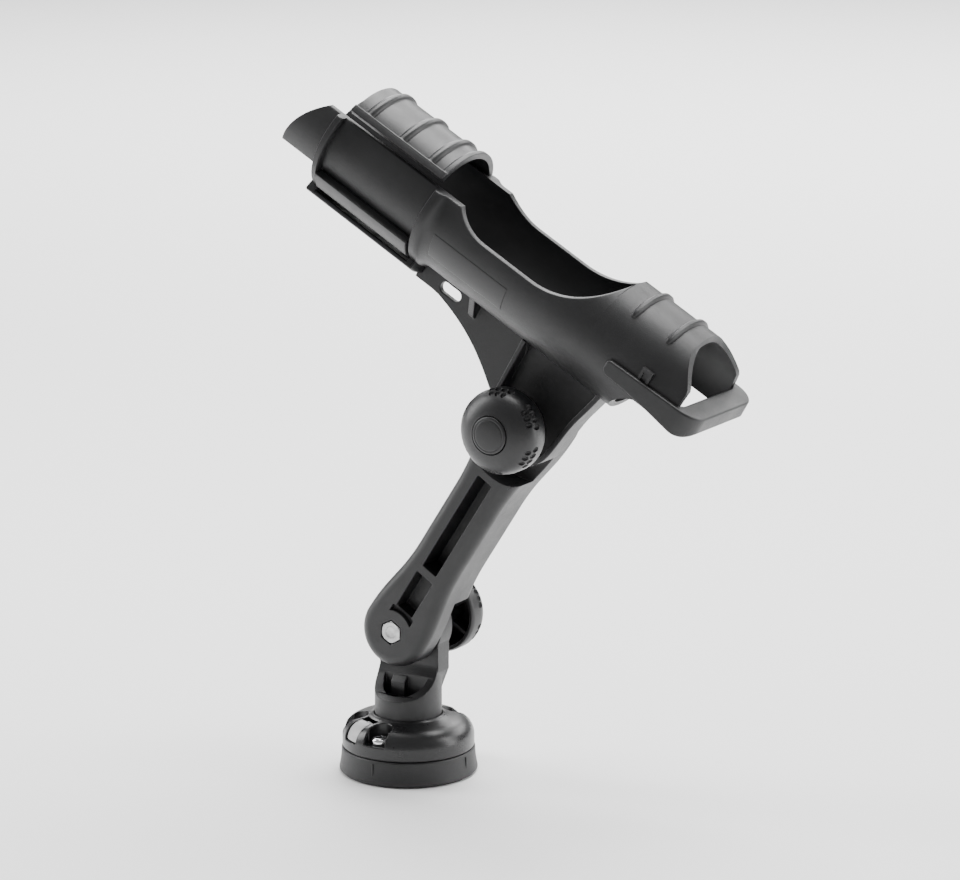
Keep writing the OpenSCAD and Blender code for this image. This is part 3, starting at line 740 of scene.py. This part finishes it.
def station(row, h):
    """Station along the bore of a point of a row at a given height."""
    kind, value, _ = row
    if kind == "tongue":
        return TONGUE_ROOT_S + value * (tongue_end(h) - TONGUE_ROOT_S)
    if kind == "butt":
        return BUTT_ROOT_S + value * (butt_mouth(h) - BUTT_ROOT_S)
    return value


def barrel_rows():
    """Rows along the barrel as (kind, station or share, outer radius), from tip to butt."""
    rows = [("tongue", t, NECK_R) for t in (1, 0.8, 0.6, 0.4, 0.2, 0)]
    rim = [(0, 0), (0.15, 0.8), (0.75, 1), (3.45, 1), (4.05, 0.8), (4.2, 0)]
    rows += [("plain", FRONT_FLANGE + 2.1 - d, NECK_R + lift * (FLANGE_R - NECK_R)) for d, lift in rim]
    rows += [("plain", FRONT_FLANGE - 3 - 7.7 * i, NECK_R) for i in range(9)]
    rows += [("plain", REAR_FLANGE + 1.1 - d, NECK_R + lift * (FLANGE_R - NECK_R)) for d, lift in rim[:4]]
    rows += [("plain", s, r) for s, r in ((93, 33.4), (92, 32.5), (90.8, 31.7), (89.4, 31.2), (88, BARREL_R))]
    shoulder = [85, 83, 81.7, 80.6] + [79 - 2 * i for i in range(7)] + [64, 61, 58]
    belly = [54 - 4 * i for i in range(6)] + [31 - 3 * i for i in range(11)]
    nose = [-1.5, -4, -6, -8, -9.6, -10.8, NOSE_INNER_S, -12.4, -13.1, -13.7, NOSE_S]
    butt = [-16, -20, -26, -34, -42, -52]
    rows += [("plain", s, BARREL_R) for s in shoulder + belly + nose + butt]
    rows += [("butt", t, BARREL_R) for t in (0.25, 0.5, 0.75, 1)]
    return rows


def rounded_corner(start, corner, end):
    """Five points of the curve that rounds a corner between two points."""
    return [tuple((1 - t) ** 2 * a + 2 * t * (1 - t) * b + t * t * c for a, b, c in zip(start, corner, end))
            for t in (0, 0.25, 0.5, 0.75, 1)]


def edge_path(h, outer):
    """The slot's rounded edge at one station, from outside to inside, as (across, up)."""
    y_outer = math.sqrt(max(outer ** 2 - h ** 2, 0))
    y_inner = math.sqrt(max(BORE_R ** 2 - h ** 2, 0)) if h < BORE_R else 0
    round_out = min(0.9, 0.3 * y_outer)
    round_in = min(0.6, 0.3 * y_inner)
    phi = math.atan2(y_outer, h) + round_out / outer
    start = (outer * math.sin(phi), outer * math.cos(phi))
    path = rounded_corner(start, (y_outer, h), (y_outer - round_out, h))
    if h >= BORE_R:
        return path + [(0.5 * path[-1][0], h)] + [(0, h)] * 4
    phi = math.atan2(y_inner, h) + round_in / BORE_R
    end = (BORE_R * math.sin(phi), BORE_R * math.cos(phi))
    return path + rounded_corner((y_inner + round_in, h), (y_inner, h), end)


def barrel_shell(columns=88):
    """The whole barrel wall: outside, inside, the slot's rounded edges and both ends."""
    rows = barrel_rows()
    vertices, faces, outer_grid, inner_grid, edges = [], [], [], [], {1: [], -1: []}

    def add(row, across, up):
        vertices.append((up, across, station(row, up)))
        return len(vertices) - 1

    for row in rows:
        outer = row[2]
        middle = station(row, 15)
        h = slot_height(middle)
        opened = middle > NOSE_S + 1e-6
        path = edge_path(h, outer) if opened else [(0, outer)] * 10
        begin_out = math.atan2(*path[0]) if opened else 0
        begin_in = math.atan2(*path[-1]) if opened and h < BORE_R else 0
        for grid, radius, begin in ((outer_grid, outer, begin_out), (inner_grid, BORE_R, begin_in)):
            angles = [begin + 2 * (math.pi - begin) * i / columns for i in range(columns + 1)]
            grid.append([add(row, radius * math.sin(a), radius * math.cos(a)) for a in angles])
        for side in (1, -1):
            edges[side].append([add(row, side * y, z) for y, z in path])
    for i in range(len(rows) - 1):
        for j in range(columns):
            for grid, first, second in ((outer_grid, i, i + 1), (inner_grid, i + 1, i)):
                faces.append((grid[first][j], grid[second][j], grid[second][j + 1], grid[first][j + 1]))
        if station(rows[i], 15) > NOSE_S + 1e-6:
            for side in (1, -1):
                near, far = edges[side][i], edges[side][i + 1]
                for k in range(9):
                    faces.append((near[k], near[k + 1], far[k + 1], far[k]))
    for j in range(columns):
        faces.append((outer_grid[-1][j], inner_grid[-1][j], inner_grid[-1][j + 1], outer_grid[-1][j + 1]))
    for j in range(1, columns - 1):
        faces.append((outer_grid[0][j], inner_grid[0][j], inner_grid[0][j + 1], outer_grid[0][j + 1]))
    for side, first, second in ((1, 0, 1), (-1, columns, columns - 1)):
        faces.append(edges[side][0] + [inner_grid[0][second], outer_grid[0][second]])
    return clean(new_piece("barrel wall", vertices, faces), 0.03)


def raised_rib(s, radius, start, end, half_width, height):
    """A low rounded rib round part of the barrel that fades out at both ends."""
    steps, ring = 30, 10
    vertices, faces = [], []
    for i in range(steps + 1):
        share = i / steps
        fade = math.sqrt(max(1 - abs(2 * share - 1) ** 10, 0.0))
        phi = math.radians(start + (end - start) * share)
        for k in range(ring):
            a = 2 * math.pi * k / ring
            r = radius - 0.6 + (0.6 + height) * math.sin(a) * fade
            vertices.append((r * math.cos(phi), -r * math.sin(phi), s + half_width * math.cos(a) * fade))
    for i in range(steps):
        for k in range(ring):
            a, b = i * ring + k, i * ring + (k + 1) % ring
            faces.append((a, b, b + ring, a + ring))
    return clean(new_piece("raised rib", vertices, faces))


wall = barrel_shell()
underside = [(-45, -115), (-45, -36)] + bezier((-31, -36), (-24, -37), (-14, -42), (-UNDER_H, -52), 16)
shape(wall, slab("open underside", underside + [(-UNDER_H, -115)], -45, 45),
      block("under the tongue", (-45, -45, 167.4), (-TONGUE_UNDER_H, 45, 200)))
catch = block("catch", (-6, -31.9, -55.6), (9.6, -29.5, -49))
shape(catch, block("catch window", (-9, -33, -53.8), (7.8, -30.9, -50.6)))
raised_ribs = [raised_rib(s, BARREL_R, -44, 44, 2.2, 1.9) for s in (-27, -50)]
barrel = joined("cradle_barrel_finish", wall, catch, *raised_ribs)
barrel.data.transform(in_metres(AT_BORE))
dress(barrel, "cradle", BODY_SLOT, body_black, "cradle_barrel")
barrel.data.set_sharp_from_angle(angle=math.radians(38))


def two_layer_faces(rows, columns):
    """Faces of a closed shell made of two grids of points, inner then outer, row by row."""
    faces = []

    def at(level, i, j):
        return level * rows * columns + i * columns + j

    for i in range(rows - 1):
        for j in range(columns - 1):
            for k in (0, 1):
                faces.append([at(k, i, j), at(k, i + 1, j), at(k, i + 1, j + 1), at(k, i, j + 1)])
    for i in range(rows - 1):
        for j in (0, columns - 1):
            faces.append([at(0, i, j), at(0, i + 1, j), at(1, i + 1, j), at(1, i, j)])
    for j in range(columns - 1):
        for i in (0, rows - 1):
            faces.append([at(0, i, j), at(0, i, j + 1), at(1, i, j + 1), at(1, i, j)])
    return faces


def curved_plate(name, s0, s1, start, end, inner, outer, rows=10, columns=14):
    """A plate that lies round the bore between two stations and two angles, in degrees from the top."""
    vertices = []
    for radius in (inner, outer):
        for i in range(rows + 1):
            for j in range(columns + 1):
                phi = math.radians(start + (end - start) * j / columns)
                s = s0 + (s1 - s0) * i / rows
                vertices.append((radius * math.cos(phi), -radius * math.sin(phi), s))
    return clean(new_piece(name, vertices, two_layer_faces(rows + 1, columns + 1)))


RAIL_R, RAIL_START, RAIL_END = 38.4, 148, 212
rail = curved_plate("neck_rail_finish", 94, 169, RAIL_START, RAIL_END, 35.8, RAIL_R)
shape(rail, curved_plate("rear root", 94, 98, RAIL_START, RAIL_END, 29, RAIL_R),
      curved_plate("front root", 163, 169, RAIL_START, RAIL_END, 29, RAIL_R), how="UNION")
rail.data.transform(in_metres(AT_BORE))
soften(rail, 1.0, 4, 40)
dress(rail, "cradle", BODY_SLOT, body_black, "cradle_barrel")

for side, start, end in (("near", 95, 122), ("far", -122, -95)):
    panel = curved_plate("side_panel_%s_finish" % side, 36, 86, start, end, 30.4, BARREL_R + 0.22)
    panel.data.transform(in_metres(AT_BORE))
    soften(panel, 0.2, 2, 40)
    dress(panel, "cradle", "panel", panel_black, "side_panel_" + side)

# ---------------------------------------------------------------- web, ear cup and gussets
web_left = [(-96.5, 40), (-96.5, 24.8), (-84, 24.8)]
web_left += bezier((-80, 24.4), (-58, 19.6), (-46, 12), (-34, 3), 22)
web_right = bezier((18.6, -12.6), (24.5, -6), (23.2, 10), (27.5, 24), 14)
web_right += bezier((27.5, 24), (29.6, 31), (31.6, 38), (32.4, 44), 8)
ear_bottom = arc(0, 0, 22.5, 198, 326, 40)
web = slab("cradle_web_finish", web_left + ear_bottom + web_right, -4.4, -EAR_GAP)
shape(web, slab("ear cup", [(-21.5, 40), (-21.5, -6)] + ear_bottom + web_right, -17, -EAR_GAP), how="UNION")
cup_hollow = [(-18.9, 60), (-18.9, -6)] + arc(0, 0, 19.9, 198, 322, 32)
cup_hollow += bezier((15.7, -12.2), (21.7, -6), (20.6, 10), (24.7, 24), 14)
cup_hollow += [(26.6, 31), (28.4, 38), (30.6, 60)]
shape(web, slab("cup hollow", cup_hollow, -30, -9.5))
for s, sides in ((57, (1, -1)), (23.5, (1,)), (20, (-1,))):
    for side in sides:
        fin = [(1.5, 42), (1.5, 26), (-4.4, 26), (-7, 27.5), (-17, 42)]
        fin = [(-side * y, z) for y, z in fin]
        corners = [(x, y, z) for x in (-s - 2, -s + 2) for y, z in fin]
        rim = [[i, 5 + i, 5 + (i + 1) % 5, (i + 1) % 5] for i in range(5)]
        gusset = clean(new_piece("gusset", corners, [[0, 1, 2, 3, 4], [9, 8, 7, 6, 5]] + rim))
        shape(web, gusset, how="UNION")
shape(web, slab("tether hole", arc(-70.5, 30, 3.1, -90, 90, 16) + arc(-78, 30, 3.1, 90, 270, 16), -20, 20))
along_bore = Matrix.Translation((0, 0, BORE_H)) @ ALONG_X
shape(web, bar("barrel seat", SEAT_R, -120, 220, along_bore, 128),
      bar("rail seat", 38.2, 93.8, 110, along_bore, 128))
shape(web, bar_y("bolt hole", 0, 0, BOLT_HOLE_R, -30, 30, 48),
      bar_y("disc seat", 0, 0, DISC_SEAT_R, -DISC_SEAT_Y, 5))
web.data.transform(in_metres(AT_CRADLE))
soften(web, 0.6, 3, 35)
dress(web, "cradle", BODY_SLOT, body_black, "cradle_web")

# ---------------------------------------------------------------- rear loop
plan_outer = [(31, -33.8)] + arc(77, -22.3, 11.5, 270, 360, 12)
plan_outer += arc(77, 22.3, 11.5, 0, 90, 12) + [(31, 33.8)]
plan_inner = [(30, -29.6)] + arc(71, -24.6, 5, 270, 360, 8) + arc(71, 24.6, 5, 0, 90, 8) + [(30, 29.6)]
loop = slab("rear_loop_finish", plan_outer, -20, 20)
shape(loop, slab("loop inside", plan_inner, -21, 21))
loop.data.transform(in_metres(OUT_FRONT))
side_profile = [(31, -4), (33, -6), (46, -6.5), (62, -8)]
side_profile += bezier((76, -9.8), (82, -10.8), (87, -9), (88.5, -5), 10)
side_profile += [(88.7, 3.4), (75, 3.6), (33, 2.2), (31, 1.2)]
shape(loop, slab("loop side", side_profile, -40, 40), how="INTERSECT")
shape(loop, bar("barrel seat", SEAT_R, -75, 0, ALONG_X, 128))
loop.data.transform(in_metres(AT_CRADLE @ Matrix.Translation((0, 0, BORE_H))))
soften(loop, 1.1, 4, 30)
dress(loop, "cradle", BODY_SLOT, body_black, "rear_loop")

# ---------------------------------------------------------------- locking cover
COVER_IN, COVER_OUT, COVER_RIB, COVER_EDGE = 30.2, 32.3, 34.0, 35.0
COVER_RIBS = (100.4, 110.6, 130.5, 153.3)
RIB_SHAPE = [(-3.1, 0), (-2.3, 0.1), (-1.8, 0.6), (-1, 0.94), (0, 1),
             (1, 0.94), (1.8, 0.6), (2.3, 0.1), (3.1, 0)]


def cover_profile():
    """Outer radius of the cover along the bore, with its rounded ribs, as (station, radius)."""
    points = [(98.5, COVER_RIB), (101.2, COVER_RIB), (102.3, COVER_OUT)]
    for s in COVER_RIBS[1:]:
        for d, lift in RIB_SHAPE:
            points.append((s + d, COVER_OUT + lift * (COVER_RIB - COVER_OUT)))
        points.append((s + 8, COVER_OUT))
    return [p for p in points if p[0] < 162] + [(162.5, COVER_OUT)]


def cover_shell():
    """The C-shaped cover: ribbed outside, plain inside and a thick strip along both edges."""
    angles = [-240 + 20 * i / 6 for i in range(7)] + [-219.7]
    angles += [-219.5 + 262 * i / 88 for i in range(89)] + [43, 46.5, 50]
    strip = {a: COVER_EDGE for a in angles if a <= -220 or a >= 43}
    profile = cover_profile()
    vertices = []
    for level in (0, 1):
        for s, radius in profile:
            for a in angles:
                r = COVER_IN if level == 0 else max(radius, strip.get(a, 0))
                vertices.append((r * math.cos(math.radians(a)), -r * math.sin(math.radians(a)), s))
    return clean(new_piece("locking_cover_finish", vertices, two_layer_faces(len(profile), len(angles))))


cover = cover_shell()
cover.data.transform(in_metres(AT_BORE))
soften(cover, 0.5, 3, 42)
dress(cover, "cover", "cover", cover_black, "locking_cover")

# ---------------------------------------------------------------- CAD nodes that stay as they are
kept_nodes = {"button_spring": satin_steel, "lower_knob_nut": satin_steel, "upper_knob_nut": satin_steel,
              "post_face_disc": cover_black, "cradle_face_disc": cover_black}
for node, material in kept_nodes.items():
    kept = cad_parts[node]
    kept.data.materials.clear()
    kept.data.materials.append(material)

# ---------------------------------------------------------------- floor, light and camera
floor_material = bpy.data.materials.new("pale_floor")
floor_material.use_nodes = True
floor_surface = floor_material.node_tree.nodes["Principled BSDF"]
floor_surface.label = "pale card"
floor_surface.inputs["Base Color"].default_value = (0.9, 0.9, 0.9, 1)
floor_surface.inputs["Roughness"].default_value = 0.9
floor = new_piece("floor", [(x * 4000, y * 4000, -0.6) for x, y in ((-1, -1), (1, -1), (1, 1), (-1, 1))],
                  [(0, 1, 2, 3)])
floor.data.materials.append(floor_material)

TARGET = Vector((0.0452, 0, 0.1874))
AZIMUTH, ELEVATION, DISTANCE = math.radians(31), math.radians(12.7), 2.0


def soft_box(name, place, size, power, aim=TARGET):
    """A large soft area light aimed at the part."""
    light = bpy.data.lights.new(name, "AREA")
    light.shape = "RECTANGLE"
    light.size, light.size_y = size
    light.energy = power
    lamp = bpy.data.objects.new(name, light)
    lamp.location = place
    lamp.rotation_euler = (aim - Vector(place)).to_track_quat("-Z", "Y").to_euler()
    bpy.context.scene.collection.objects.link(lamp)


soft_box("top_box", (0.05, 0.35, 1.5), (0.9, 0.9), 34)
soft_box("floor_box_left", (-1.3, 2.3, 1.7), (2.4, 2.4), 130, Vector((-1.3, 2.4, 0)))
soft_box("floor_box_right", (1.3, 3.0, 1.7), (2.4, 2.4), 130, Vector((1.3, 3.1, 0)))
soft_box("left_box", (-1.2, -0.35, 0.8), (0.4, 1.2), 17)
soft_box("right_box", (1.25, 0.5, 0.5), (0.35, 1.2), 11)

world = bpy.data.worlds.new("studio")
world.use_nodes = True
backdrop = world.node_tree.nodes["Background"]
backdrop.label = "white cyclorama"
backdrop.inputs["Color"].default_value = (1, 1, 1, 1)
backdrop.inputs["Strength"].default_value = 0.44
bpy.context.scene.world = world

camera_data = bpy.data.cameras.new("view")
camera_data.lens = 142.5
camera_data.sensor_width = 36
camera = bpy.data.objects.new("view", camera_data)
back = Vector((math.sin(AZIMUTH) * math.cos(ELEVATION), -math.cos(AZIMUTH) * math.cos(ELEVATION),
               math.sin(ELEVATION)))
camera.location = TARGET + back * DISTANCE
camera.rotation_euler = (-back).to_track_quat("-Z", "Y").to_euler()
bpy.context.scene.collection.objects.link(camera)
bpy.context.scene.camera = camera
